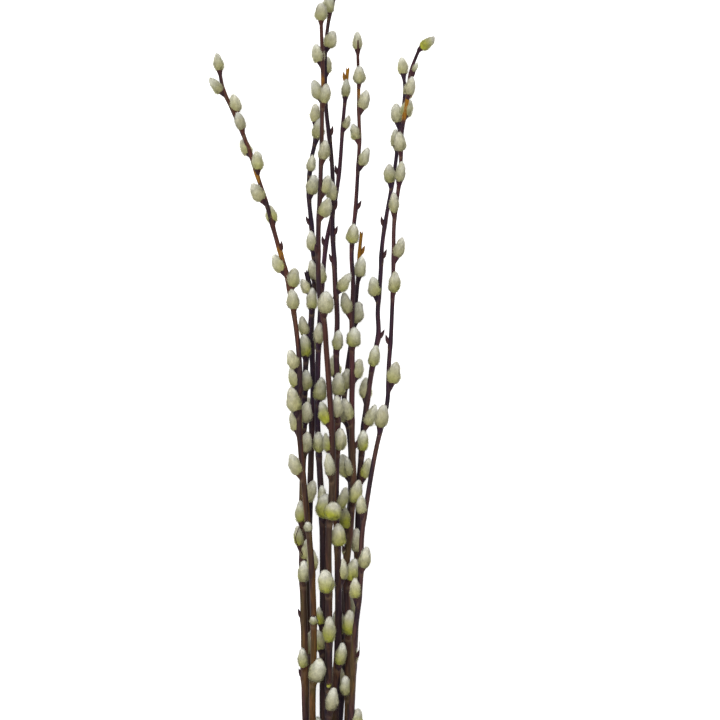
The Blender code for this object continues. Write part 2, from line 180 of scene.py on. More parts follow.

# Each branch. seat: its column and row in the band. cut: where its cut end lies along. tip: lean and
# turn of the catkin on its tip, or None where it is broken off. warm_lit_side: the turn where its bark
# is warm and light in colour, partly its own sun-reddened colour and partly painted light, with painted
# shade towards the far side. girth: its own, above the band and at the tip. bark, low_bark: colours
# high up and low down. route: points (across, along, height). catkins, buds: (along, turn), and size
# and lean too where a catkin stands out. looks, of catkins: how stout, how fresh and green, how bright,
# which is partly each catkin's own tone and partly painted light and shade. tufts, on buds that open:
# length, width, how green, how bright, likewise partly painted light and shade. golden, of bark: (from,
# to, how golden). The model leaves out the scales, which are a curled scale on a dead tip and a bud
# close under a catkin, and the twigs, one of which is a dark point.
BRANCHES = {
    "left_outer": dict(
        seat=(-1, 2), cut=-60, tip=(0, 0), warm_lit_side=60, girth=(0.96, 0.95),
        bark=(0.075, 0.028, 0.022), low_bark=(0.088, 0.044, 0.014),
        route=[(-13, 88, 34), (-12, 144, 45), (-13, 200, 50), (-24, 328, 51), (-24, 376, 49),
               (-28, 414, 44), (-50, 500, 27), (-76, 574, 11), (-86, 595, 7), (-88, 607, 5.9)],
        catkins=[(121, 30), (208, 165, 0.9, 8), (285, -80), (319, -150), (335, -60, 1.12, 18),
                 (354, -130), (369, -90), (416, 10), (433, 80), (447, -110), (486, 160), (504, -75),
                 (527, 50), (542, -150), (560, 20), (574, 100), (592, -80)],
        buds=[(168, 0), (242, 0), (350, 40), (464, 60)],
        looks={121: (1.15, 0.3, 1.1), 319: (0.9, 0.6, 0.9), 354: (0.9, 0.6, 0.92), 208: (0.9, 0.4, 1.0)},
        tufts={168: (8.5, 7.8, 0.6, 0.8), 242: (9.5, 7.8, 0.2, 0.92), 464: (4.5, 3.4, 0.1, 0.9)},
        golden=[(458, 463, 0.7), (521, 527, 0.8)],
    ),
    "left_inner": dict(
        seat=(-1.5, 1), cut=-66, tip=None, warm_lit_side=-70,
        bark=(0.03, 0.012, 0.03), low_bark=(0.05, 0.026, 0.026),
        route=[(-19, 88, 21), (-20, 144, 27), (-21, 216, 31), (-20, 320, 31), (-18, 384, 31),
               (-14, 424, 32), (-18, 446, 33)],
        catkins=[(130, -15, 0.85, 14), (199, 10), (216, 60, 0.9, 10), (227, -60, 0.9, 10),
                 (246, -30, 0.95, 8), (263, 85, 0.95, 24), (302, 30), (326, 20), (352, 10), (379, -20),
                 (395, -80), (417, 0), (430, -60, 0.75, 20)],
        buds=[(123, -90), (171, -90)],
        looks={302: (0.95, 0.2, 1.12), 326: (1.0, 0.2, 1.05), 130: (0.85, 0.5, 1.0),
               246: (0.9, 0.8, 0.86), 227: (0.9, 1.0, 0.84), 379: (0.95, 0.9, 0.88),
               417: (0.84, 0.5, 0.92), 263: (1.08, 0.2, 1.05)},
        tufts={123: (4.5, 3.2, 0.2, 0.9)},
        twig_radius=0.55, twig=[(-19.4, 216, 33), (-23.0, 225, 38), (-26.6, 233, 41), (-23.5, 243, 40),
                                (-19.5, 249, 37)],
    ),
    "left_back": dict(
        seat=(-1, 0), cut=-57, tip=(0, 0), warm_lit_side=120,
        bark=(0.032, 0.013, 0.03), low_bark=(0.034, 0.016, 0.024),
        route=[(-15, 88, 8), (-16, 144, 10), (-18, 184, 12), (-16, 248, 12), (-14, 324, 12),
               (-13, 352, 12), (-14, 408, 12), (-12, 432, 12), (-14, 538, 13), (-11, 552, 14),
               (-11, 565, 14)],
        catkins=[(140, 20), (328, -150), (384, 180), (441, -20), (464, -10), (509, 50),
                 (528, 10, 0.85, 18), (554, 30)],
        buds=[(486, -90)],
    ),
    "crossing": dict(
        seat=(-0.5, 1), cut=-63, tip=None, warm_lit_side=40, girth=(1.06, 0.88),
        bark=(0.036, 0.015, 0.036), low_bark=(0.018, 0.011, 0.017),
        route=[(-5, 88, 20), (-5, 184, 25), (-5, 240, 25), (-9, 324, 24), (-5, 446, 24), (-3, 468, 21),
               (4, 502, 17), (15, 610, 12)],
        catkins=[(73, -50, 0.9, 12), (144, -40, 0.85, 16), (164, -40, 0.75, 12), (250, 25),
                 (262, 10, 0.75, 14), (302, 5), (344, 30), (389, 0), (437, -20), (562, 50, 0.75, 24),
                 (587, 0)],
        buds=[(469, -90), (526, -90)],
        scales=[(601, -60)],
        looks={250: (1.35, 1.4, 0.9), 164: (0.85, 1.6, 0.95), 344: (0.95, 1.2, 0.82),
               389: (0.82, 0.3, 1.0), 587: (0.82, 0.3, 0.94)},
        golden=[(600, 616, 1.0)],
        twig_radius=0.42, twig=[(6.0, 525, 18.5), (3.0, 530, 20), (0.8, 535, 21), (-0.6, 538, 21.5)],
    ),
    "centre_front": dict(
        seat=(0, 2), cut=-68, tip=(0, 0), warm_lit_side=20,
        bark=(0.054, 0.021, 0.019), low_bark=(0.027, 0.016, 0.02),
        route=[(0, 88, 35), (0, 176, 51), (0, 236, 56), (2, 264, 57), (-2, 388, 58), (-3, 404, 58),
               (-6, 420, 59), (-6, 524, 62), (-5, 568, 64), (-6, 643, 68)],
        catkins=[(97, 25), (152, 5, 1.12, 14), (192, -20), (250, 20, 0.8, 24), (284, -30),
                 (303, -110, 0.85, 14), (325, -120), (413, 50), (490, 80), (508, 120), (535, 30),
                 (580, 30), (583, -80), (612, -110)],
        buds=[(117, 0), (462, -40)],
        looks={250: (1.6, 1.5, 1.0), 192: (1.25, 0.9, 1.1), 152: (0.86, 1.0, 0.95), 97: (0.88, 0.1, 1.08),
               325: (0.95, 1.2, 0.82), 303: (0.85, 0.9, 0.74), 413: (1.2, 0.3, 1.02),
               284: (0.84, 0.1, 1.05), 580: (0.96, 0.3, 1.0)},
        tufts={117: (7.5, 5.4, 12.0, 1.0)},
        golden=[(595, 600, 0.6)],
    ),
    "centre_tall": dict(
        seat=(0.5, 1), cut=-59, tip=(0, 0), warm_lit_side=-90,
        bark=(0.044, 0.017, 0.03), low_bark=(0.085, 0.038, 0.03),
        route=[(5, 88, 23), (8, 176, 37), (6, 268, 40), (7, 344, 40), (6, 384, 40), (7, 408, 40),
               (4, 454, 41), (2, 542, 44), (-2, 580, 46), (-2, 628, 49), (0, 648, 50), (12, 686, 52)],
        catkins=[(133, 30), (200, 110, 0.9, 8), (228, 10), (257, 75), (305, 20), (330, -5), (348, 10),
                 (363, -160), (384, 15), (431, 80, 1.0, 42), (503, -20), (604, 160), (625, 70),
                 (652, -40)],
        buds=[(455, -80), (477, 80), (497, 80), (556, 90)],
        looks={228: (1.15, 0.8, 1.1), 133: (0.88, 0.8, 1.05), 257: (0.85, 1.0, 0.8),
               305: (1.25, 1.1, 1.0), 330: (0.84, 0.1, 1.15), 348: (1.0, 0.5, 0.86),
               384: (0.92, 0.5, 0.86), 200: (0.85, 0.3, 1.1), 625: (1.15, 0.3, 1.0)},
    ),
    "short_stub": dict(
        seat=(0, 0), cut=-65, tip=None, warm_lit_side=80, girth=(1.06, 0.72),
        bark=(0.055, 0.022, 0.028), low_bark=(0.024, 0.014, 0.022),
        route=[(8, 88, 8), (13, 204, 12), (16, 316, 12), (12, 344, 12), (14, 364, 12), (20, 406, 13),
               (26, 478, 14)],
        catkins=[(113, -30), (156, -40), (240, -60), (282, -60), (327, -30), (353, 5), (406, 20),
                 (443, 15)],
        buds=[(462, 70)],
        golden=[(455, 480, 0.75)],
    ),
    "centre_right": dict(
        seat=(1.5, 1), cut=-61, tip=(0, 0), warm_lit_side=-20, girth=(1.06, 0.82),
        bark=(0.062, 0.022, 0.031), low_bark=(0.046, 0.023, 0.02),
        route=[(15, 88, 22), (15, 176, 28), (14, 216, 28), (18, 256, 28), (19, 304, 28), (18, 328, 28),
               (19, 366, 28), (18, 412, 29), (19, 436, 30), (18, 460, 31), (22, 500, 34), (24, 588, 38),
               (23, 622, 39)],
        catkins=[(108, -22, 0.85, 20), (157, 12), (199, 60), (240, -80), (262, 30), (283, -70, 0.85, 14),
                 (328, -50), (361, 130), (387, 20), (413, -80), (470, 0), (531, 75), (552, -80, 0.85, 18),
                 (576, 85), (597, 10)],
        buds=[(222, -80), (306, 90), (498, 90)],
        looks={157: (1.05, 1.3, 1.0), 199: (1.0, 1.0, 1.0), 108: (1.0, 1.1, 1.0), 240: (0.9, 1.3, 0.82),
               283: (0.85, 0.5, 0.86), 387: (1.2, 0.9, 0.98), 531: (0.84, 0.4, 0.96),
               597: (1.14, 0.2, 1.02), 622: (0.84, 0.3, 1.0)},
        tufts={222: (7.5, 5.4, 0.4, 0.9), 498: (5.5, 3.6, 0.3, 0.95)},
        golden=[(586, 594, 0.7)],
        twig_radius=1.25, twig=[(23.1, 610, 39.6), (23.1, 617, 43.0), (23.2, 624, 45.4),
                                (23.2, 631, 45.6)],
    ),
    "right_inner": dict(
        seat=(1, 0), cut=-67, tip=(0, 0), warm_lit_side=110, girth=(1.0, 0.86),
        bark=(0.047, 0.018, 0.04), low_bark=(0.055, 0.026, 0.022),
        route=[(17, 88, 8), (20, 144, 10), (37, 382, 12), (40, 396, 12), (39, 414, 12), (42, 452, 12),
               (43, 472, 12), (53, 534, 12), (57, 566, 12), (61, 594, 8.9), (60, 604, 6.85)],
        catkins=[(131, -10), (171, -20), (222, -10), (281, 80, 0.95, 18), (303, 0), (324, 60),
                 (344, -150), (371, 0), (427, -80), (518, -50), (547, -150), (566, -80),
                 (589, 20, 0.6, 14)],
        buds=[(395, 90), (459, 80), (485, -90)],
        looks={303: (0.95, 1.1, 1.0), 222: (1.0, 0.4, 1.05)},
        tufts={395: (4.5, 3.4, 0.3, 0.9)},
    ),
    "right_outer": dict(
        seat=(1, 2), cut=-58, tip=(32, 90), warm_lit_side=30, girth=(0.82, 0.9),
        bark=(0.049, 0.017, 0.033), low_bark=(0.065, 0.034, 0.036),
        route=[(18, 88, 34), (21, 160, 46), (23.5, 184, 48), (25.5, 204, 49), (26.5, 240, 49),
               (30, 264, 49), (42, 324, 46), (46, 338, 45), (48, 376, 42), (52, 460, 38), (52, 484, 37),
               (57, 526, 35), (58, 554, 34), (63, 586, 32), (67, 611, 31), (72, 624, 31)],
        catkins=[(80, 120, 0.9, 10), (186, -70, 0.85, 10), (211, 30), (253, -50, 0.82, 18), (322, -20),
                 (357, 75), (430, 10), (458, 75), (493, -20), (518, 0), (543, -15), (571, 165), (588, 10),
                 (607, 50, 0.6, 22)],
        buds=[(139, 90), (390, -90), (603, 90)],
        scales=[(587, 105)],
        looks={624: (0.95, 1.1, 0.92), 211: (1.0, 0.3, 1.08), 253: (0.95, 0.2, 1.08),
               357: (1.0, 0.4, 1.0), 493: (0.78, 0.3, 1.02), 518: (0.8, 0.2, 1.0),
               588: (0.92, 0.1, 1.08)},
        tufts={139: (6.5, 4.6, 0.0, 1.1), 587: (7.0, 5.2, 0.2, 1.05), 603: (5.5, 4.0, 0.3, 1.0)},
        golden=[(569, 587, 1.0)],
        twig_radius=0.4, twig=[(20.6, 139, 46), (23.2, 143, 47), (24.6, 147.5, 47.5), (24.4, 152, 48)],
    ),
}


def world(points):
    """Design points in metres, in the frame whose origin is under the middle of the bunch."""
    return (np.asarray(points) - (CENTRE_ACROSS, CENTRE_ALONG, 0.0)) * MM


def unit(vectors):
    return vectors / np.linalg.norm(vectors, axis=-1, keepdims=True)


def square_to(vectors, direction):
    """The parts of the vectors that are square to a direction, as unit vectors."""
    share = np.sum(vectors * direction, axis=-1, keepdims=True)
    return unit(vectors - direction * share)


def ring_angles(sides):
    return np.arange(sides) * math.tau / sides


def eased(share):
    """A share from 0 to 1 that starts and ends gently."""
    return share * share * (3.0 - 2.0 * share)


def side_vectors(turns):
    angles = np.radians(turns)
    return np.stack([np.sin(angles), np.zeros_like(angles), np.cos(angles)], axis=-1)


def seat_place(column, row):
    """Across and height of a stem's seat inside the band."""
    return column * SEAT_PITCH, LOWEST_SEAT + row * ROW_PITCH


def full_route(branch):
    """The route with its seat in the band and its cut end, ordered by along."""
    column, row = branch["seat"]
    across, height = seat_place(column, row)
    cut = (across * SPREAD_AT_CUT, branch["cut"], height + (row - 0.5) * LIFT_AT_CUT)
    held = [(across, -HELD_STRAIGHT, height), (across, HELD_STRAIGHT, height)]
    return [cut] + held + branch["route"]


def slopes(knots, values):
    """Slope at each knot of a smooth curve through the values."""
    steps = np.diff(knots)
    rises = np.diff(values) / steps
    inner = (rises[:-1] * steps[1:] + rises[1:] * steps[:-1]) / (steps[:-1] + steps[1:])
    return np.concatenate([rises[:1], inner, rises[-1:]])


def smooth(knots, values, at):
    """Cubic interpolation, carried on in a straight line past either end."""
    rates = slopes(knots, values)
    inside = np.clip(at, knots[0], knots[-1])
    i = np.clip(np.searchsorted(knots, inside, side="right") - 1, 0, len(knots) - 2)
    step = knots[i + 1] - knots[i]
    t = (inside - knots[i]) / step
    rise = values[i + 1] - values[i]
    start = rates[i] * step - rise
    end = rise - rates[i + 1] * step
    curve = values[i] + t * rise + t * (1 - t) * ((1 - t) * start + t * end)
    beyond = at - inside
    return curve + np.where(beyond < 0, rates[0], rates[-1]) * beyond


def outline_at(outline, height):
    """Radius of a half outline at some heights."""
    heights, radii = np.array(outline).T
    return np.maximum(smooth(heights, radii, height), 0.0)


def mix(low, high, along):
    return low + (high - low) * np.clip(along / TALLEST_TIP, 0.0, 1.0)


class Stem:
    """Centre line, direction and radius of one branch, all by distance along the bunch."""

    def __init__(self, branch):
        self.across, self.knots, self.height = np.array(full_route(branch), float).T
        self.cut, self.end = self.knots[0], self.knots[-1]
        self.nodes = sorted(entry[:2] for entry in branch["catkins"] + branch["buds"])

    def line(self, along):
        along = np.asarray(along, float)
        across = smooth(self.knots, self.across, along)
        return np.stack([across, along, smooth(self.knots, self.height, along)], axis=-1)

    def kink(self, along):
        """The stem steps a little away from each catkin or bud, straight from one to the next."""
        stops = [0.0] + [place for place, turn in self.nodes] + [self.end + 1.0]
        steps = np.zeros((len(stops), 3))
        steps[1:-1] = side_vectors([turn for place, turn in self.nodes]) * -ZIGZAG
        return np.stack([np.interp(along, stops, steps[:, k]) for k in range(3)], axis=-1)

    def centre(self, along):
        return self.line(along) + self.kink(along)

    def direction(self, along):
        along = np.asarray(along)
        return unit(self.line(along + EVENED_OVER) - self.line(along - EVENED_OVER))

    def radius(self, along):
        return mix(STEM_RADIUS_AT_BAND, STEM_RADIUS_AT_TIP, along)

    def leaning(self, along, turn, lean):
        """The axis of what grows at a place, leaning out from the stem, and its outward side."""
        forward = self.direction(along)
        outward = square_to(side_vectors(turn), forward)
        angle = math.radians(lean)
        return forward * math.cos(angle) + outward * math.sin(angle), outward


def catkin_places(name, branch, stem):
    """Foot, axis, outward side, length and half width of each catkin, with its place along."""
    places = []
    draw = random.Random(name)
    for along, turn, *special in branch["catkins"]:
        size, lean = special or (draw.uniform(*CATKIN_SIZES), CATKIN_LEAN + draw.uniform(*LEAN_CHANGES))
        axis, outward = stem.leaning(along, turn, lean)
        base = stem.centre(along) + outward * (stem.radius(along) + SPUR_STANDOFF)
        places.append((base, axis, outward, along, size))
    if branch["tip"]:
        lean, turn = branch["tip"]
        axis, outward = stem.leaning(stem.end, turn, lean)
        places.append((stem.centre(stem.end) + axis * TIP_STANDOFF, axis, outward, stem.end, 1.0))
    return [(base, axis, outward, mix(CATKIN_LENGTH_LOW, CATKIN_LENGTH_HIGH, along) * size,
             mix(CATKIN_WIDTH_LOW, CATKIN_WIDTH_HIGH, along) * size / 2, along)
            for base, axis, outward, along, size in places]


def lowness(places):
    """1 where the bark has its low colour, 0 where it has its upper one."""
    return np.interp(places, LOW_BARK_REACH, [1.0, 0.0])


def warmth_and_light(branch, places, turns, phase):
    """How warm and light the bark's colour is, from 0 to 1, by place and turn: partly the bark's own
    colour, warmer on one side, and partly painted light on that side and painted shade on the far side.
    """
    sway = np.sin(np.asarray(places) / 60.0 + phase)
    return 0.5 + 0.5 * np.cos(np.radians(turns - branch["warm_lit_side"]) + sway)


class Shape:
    """Points, faces and named values by point, gathered into one mesh."""

    def __init__(self, *names):
        self.points = []
        self.normals = []
        self.faces = []
        self.values = {name: [] for name in names}
        self.count = 0

    def add(self, points, faces, normals=None, **values):
        self.points.append(points)
        self.faces += [part + self.count for part in faces]
        if normals is not None:
            self.normals.append(normals)
        for name, kept in self.values.items():
            kept.append(np.broadcast_to(values.get(name, 0.0), len(points)))
        self.count += len(points)

    def add_skin(self, rings, start, finish, normals=None, **values):
        """A tube through the rings, with its values by ring or by ring and side."""
        spread = {name: by_ring(value, rings) for name, value in values.items()}
        self.add(*skin(rings, start, finish), normals, **spread)

    def mesh(self, name):
        mesh = bpy.data.meshes.new(name)
        points = world(np.concatenate(self.points))
        # Nothing dips into the surface that the bunch lies on.
        points[:, 2] = np.maximum(points[:, 2], 0.0)
        mesh.vertices.add(len(points))
        mesh.vertices.foreach_set("co", points.ravel())
        sides = np.concatenate([np.full(len(part), part.shape[1]) for part in self.faces])
        mesh.loops.add(int(sides.sum()))
        loops = np.concatenate([part.ravel() for part in self.faces])
        mesh.loops.foreach_set("vertex_index", loops.astype(np.int32))
        mesh.polygons.add(len(sides))
        starts = np.concatenate([[0], np.cumsum(sides)[:-1]])
        mesh.polygons.foreach_set("loop_start", starts.astype(np.int32))
        mesh.update(calc_edges=True)
        mesh.shade_smooth()
        for value_name, kept in self.values.items():
            layer = mesh.attributes.new(value_name, "FLOAT", "POINT")
            layer.data.foreach_set("value", np.concatenate(kept).astype(np.float32))
        if self.normals:
            mesh.normals_split_custom_set_from_vertices(np.concatenate(self.normals))
        return mesh


def skin(rings, start, finish):
    """Points and faces of a tube through the rings, closed by a point at either end."""
    rows, sides = rings.shape[:2]
    points = np.concatenate([rings.reshape(-1, 3), [start], [finish]])
    row, side = np.meshgrid(np.arange(rows - 1) * sides, np.arange(sides), indexing="ij")
    beside = row + (side + 1) % sides
    wall = np.stack([row + side, beside, beside + sides, row + side + sides], -1).reshape(-1, 4)
    side = np.arange(sides)
    beside = (side + 1) % sides
    last = (rows - 1) * sides
    low = np.stack([beside, side, np.full(sides, rows * sides)], -1)
    high = np.stack([last + side, last + beside, np.full(sides, rows * sides + 1)], -1)
    return points, [wall, low, high]


def by_ring(values, rings):
    """One value, or values by ring or by ring and side, for every point of a skin."""
    values = np.asarray(values, float)
    values = values if values.ndim == 2 else values.reshape(-1, 1)
    spread = np.broadcast_to(values, rings.shape[:2])
    return np.concatenate([spread.ravel(), [spread[0].mean(), spread[-1].mean()]])


def turned(base, axis, outward, heights, radii, sides, flat=1.0):
    """Rings of a turned form that stands on a base. Heights and radii may differ by side."""
    angles = ring_angles(sides)
    x = square_to(outward, axis)
    heights = heights.reshape(len(radii), -1)
    radii = radii.reshape(len(radii), -1)
    return (base + x * (radii * np.cos(angles) * flat)[..., None]
            + np.cross(axis, x) * (radii * np.sin(angles))[..., None] + axis * heights[..., None])


def wobble(places, turns, phase):
    """An unevenness of about plus or minus one, by place along and turn, that never jumps."""
    turns = np.radians(turns)
    return (0.5 * np.sin(places / 11.0 + phase) * np.cos(turns * 2.0 + places / 37.0 + phase)
            + 0.3 * np.sin(places / 5.3 + 2.1 * phase) * np.cos(turns * 3.0 - places / 19.0)
            + 0.2 * np.cos(turns + places / 71.0 + 3.0 * phase))


def add_stem(shape, branch, stem, phase):
    """The stem's bark from its oblique cut, whose wood shows, to its tip."""
    count = round((stem.end - stem.cut) / RING_SPACING) + 1
    places = np.concatenate([np.full(len(CUT_RINGS), stem.cut), np.linspace(stem.cut, stem.end, count)])
    shrink = np.concatenate([CUT_RINGS, np.ones(count)])
    turns = np.arange(STEM_SIDES) * 360.0 / STEM_SIDES
    centres = sum(stem.centre(places + step) for step in (-EVENED_OVER, 0.0, EVENED_OVER)) / 3.0
    sides = square_to(side_vectors(turns)[None], stem.direction(places)[:, None])
    grown = 1.0 + UNEVENNESS * wobble(places[:, None], turns[None], phase)
    for place, turn in stem.nodes:
        near = np.exp(-(((places - place + NODE_BELOW) / NODE_REACH) ** 2))
        facing = 0.5 + 0.5 * np.cos(np.radians(turns - turn))
        grown = grown + near[:, None] * (NODE_ALL_ROUND + NODE_SIDE * facing)
    low, high = branch.get("girth", USUAL_GIRTH)
    girth = np.interp(places, [*GIRTH_PLACES, stem.end], [GIRTH_IN_BAND, low, low, high])
    radius = (stem.radius(places) * girth * shrink)[:, None] * grown
    rings = centres[:, None] + sides * radius[..., None]
    shear = CUT_SLOPE * np.clip(1.0 - (places - stem.cut) / CUT_REACH, 0.0, 1.0)
    rings[..., 1] += (rings[..., 2] - centres[:, None, 2]) * shear[:, None]
    finish = centres[-1]
    if branch["tip"] is None:
        jagged = np.sin(np.radians(turns) * 3.0 + phase) + 0.7 * np.cos(np.radians(turns) * 5.0)
        torn = np.clip((places - stem.end) / (2.0 * RING_SPACING) + 1.0, 0.0, 1.0) ** 2
        rings[..., 1] += torn[:, None] * jagged[None] * SPLINTER * SPLINTER_SWAY
        finish = finish - stem.direction(stem.end) * SPLINTER
    gold = np.zeros((len(places), STEM_SIDES))
    ragged = GOLD_STRAY * wobble(places[:, None], turns[None], 2.0 * phase)
    for start, stop, strength in branch.get("golden", []):
        facing = GOLD_SLANT * np.cos(np.radians(turns - 40.0 * math.sin(start)))[None]
        inside = np.minimum(places - start, stop - places)[:, None] + ragged + facing
        gold = np.maximum(gold, strength * np.clip(inside / GOLD_FADE + GOLD_AT_EDGE, 0.0, 1.0))
    # Warmth by turn: partly the bark's own colour, partly painted light on one side and painted shade on the
    # other.
    warm = warmth_and_light(branch, places[:, None], turns[None], phase)
    scar = np.zeros_like(gold)
    for place, turn in stem.nodes:
        near = np.exp(-(((places - place + SCAR_BELOW) / SCAR_REACH) ** 2))[:, None]
        scar = np.maximum(scar, near * np.clip(np.cos(np.radians(turns - turn)) * 1.6 - 0.2, 0.0, 1.0)[None])
    shape.add_skin(rings, centres[0], finish, gold=gold, warm=warm, low=lowness(places), scar=scar,
                   wood=np.where(shrink < WOOD_SHARE, 1.0, 0.0), ring=shrink)


def add_cup(shape, base, axis, outward, length, half_width, low, warm, draw, stem=None):
    """The brown cup of bud scales on its short spur, from which a catkin grows. A stem whose tip
    it stands on draws its foot in."""
    rows = np.linspace(0.0, 1.0, CUP_ROWS)
    steps = np.linspace(0.0, 1.0, len(CUP_OUTLINE))
    heights, radii = np.array(CUP_OUTLINE).T
    height = smooth(steps, heights, rows)[:, None]
    radius = smooth(steps, radii, rows)[:, None]
    angles = ring_angles(CUP_SIDES)
    turn = draw.uniform(0.0, math.tau)
    lobes = 0.045 * np.cos(angles * 2.0 + turn) + 0.02 * np.cos(angles * 5.0 + 2.0 * turn)
    height = height + np.clip(height + 0.15, 0.0, 0.2) * 5.0 * lobes
    rings = turned(base, axis, outward, height * length, radius * half_width, CUP_SIDES)
    if stem:
        back = smooth(steps, heights, rows) * length
        pull = stem.centre(stem.end + back + TIP_STANDOFF) - (base + axis * back[:, None])
        rings += (pull * np.clip(-back / CUP_FOOT_REACH, 0.0, 1.0)[:, None])[:, None]
    brown = np.clip(rows * 1.6 - 0.75, 0.0, 1.0)
    shape.add_skin(rings, rings[0].mean(axis=0), rings[-1].mean(axis=0), brown=brown, warm=warm, low=low)


def add_bud(shape, base, axis, outward, golden):
    """A bare bud: one cap-like scale that lies close to the stem."""
    heights = np.linspace(BUD_OUTLINE[0][0], BUD_OUTLINE[-1][0], BUD_ROWS)
    radii = outline_at(BUD_OUTLINE, heights)
    rings = turned(base, axis, outward, heights * BUD_LENGTH, radii * BUD_HALF_WIDTH, BUD_SIDES,
                   BUD_FLATNESS)
    rings -= (outward * BUD_STOOP) * (np.clip(heights, 0.0, 1.0) ** 2)[:, None, None]
    brown = np.linspace(0.75, 0.2, BUD_ROWS)
    shape.add_skin(rings, rings[0].mean(axis=0), rings[-1].mean(axis=0) + axis * BUD_POINT,
                   brown=brown, gold=golden, warm=0.4)


def add_twig(shape, points, radius):
    """A thin twig along a curve through the points, thinning to its end."""
    knots = np.arange(len(points), dtype=float)
    steps = np.linspace(0.0, knots[-1], TWIG_RINGS * len(points))
    line = np.stack([smooth(knots, part, steps) for part in np.array(points, float).T], axis=-1)
    forward = unit(np.gradient(line, axis=0))
    side = square_to(UPWARD[None], forward)
    across = np.cross(forward, side)
    angles = ring_angles(TWIG_SIDES)
    radii = (radius * np.linspace(1.0, TWIG_TAPER, len(steps)))[:, None, None]
    rings = line[:, None] + radii * (side[:, None] * np.cos(angles)[None, :, None]
                                     + across[:, None] * np.sin(angles)[None, :, None])
    shape.add_skin(rings, line[0], line[-1], brown=0.7, warm=0.6)


def catkin_point(t, angle, form):
    """Points of a catkin's body in its own directions: outward, sideways and along its axis."""
    radius = outline_at(CATKIN_OUTLINE, t ** form["blunt"]) * form["half_width"]
    radius = radius * (1.0 + 0.06 * np.cos(2.0 * angle + form["turn"])
                       + 0.06 * np.sin(3.0 * angle + 7.0 * t + form["turn"])
                       + 0.045 * np.sin(2.0 * angle - 13.0 * t + 2.0 * form["turn"]))
    bend = -CATKIN_BEND * form["length"] * t * t
    return np.stack([radius * np.cos(angle) + bend, radius * np.sin(angle), t * form["length"]], axis=-1)


def surface(t, angle, form):
    """Points, normals and tipward directions on a catkin's body."""
    step = 0.01
    low, high = np.clip(t - step, 0.0, 1.0), np.clip(t + step, 0.0, 1.0)
    tipward = unit(catkin_point(high, angle, form) - catkin_point(low, angle, form))
    inner = np.clip(t, 0.0, 0.97)
    around = unit(catkin_point(inner, angle + step, form) - catkin_point(inner, angle - step, form))
    return catkin_point(t, angle, form), unit(np.cross(around, tipward)), tipward


def greenness(strength, t, angle, side):
    """How green the down is: most at the foot and on one side."""
    facing = 0.62 + 0.38 * np.cos(angle - side)
    return np.clip(strength * facing * np.clip(1.2 - 1.55 * t, 0.0, 1.0) * 1.15, 0.0, 1.0)


